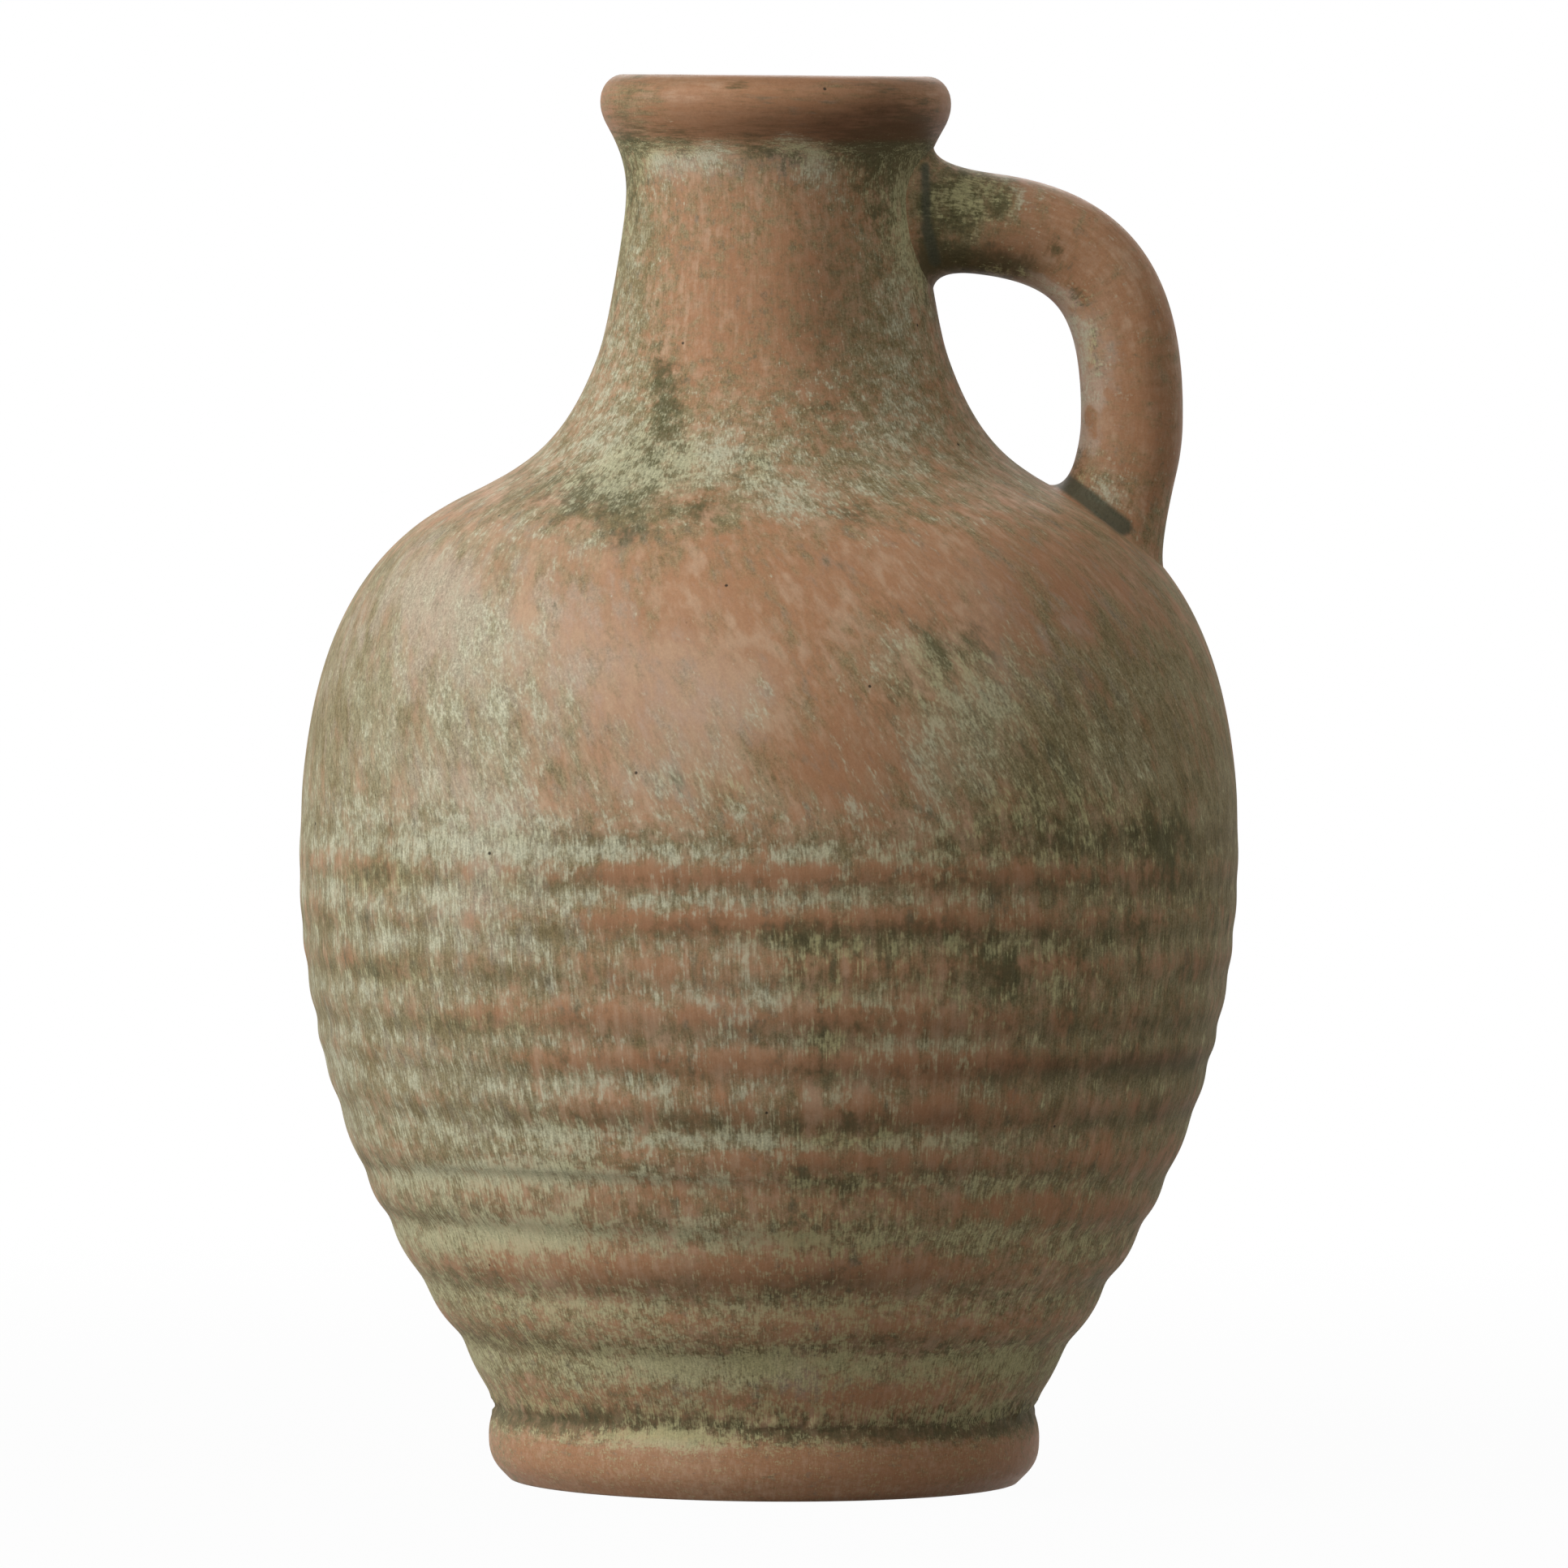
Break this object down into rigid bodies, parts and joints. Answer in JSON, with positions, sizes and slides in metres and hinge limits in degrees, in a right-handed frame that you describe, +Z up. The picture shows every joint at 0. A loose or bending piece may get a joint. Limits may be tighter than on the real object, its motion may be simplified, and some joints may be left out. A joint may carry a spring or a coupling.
{
  "type": "ceramic jug",
  "caption": "Terracotta jug with a ringed round belly, flared neck, rolled rim and one strap handle from neck to shoulder, for holding and pouring or for display.",
  "frame": {"origin": "centre of the resting ring, on the surface that the jug stands on", "axes": "+Z up along the axis that the jug was turned on; +X from that axis towards the handle"},
  "size_m": [0.1874, 0.1874, 0.28],
  "materials": {
    "worn_clay": "rubbed unglazed terracotta, satin",
    "aged_clay": "unglazed terracotta under a dry-brushed olive and pale grey wash",
    "mossy_clay": "unglazed terracotta under a dark green wash"
  },
  "bodies": {
    "root": {"foot": "worn_clay", "lower_belly": "aged_clay", "upper_belly": "aged_clay", "lower_shoulder": "aged_clay", "upper_shoulder": "aged_clay", "neck_flare": "aged_clay", "neck": "aged_clay", "rim": "worn_clay", "handle": "worn_clay", "upper_handle_collar": "mossy_clay", "lower_handle_collar": "mossy_clay"}
  },
  "joints": []
}
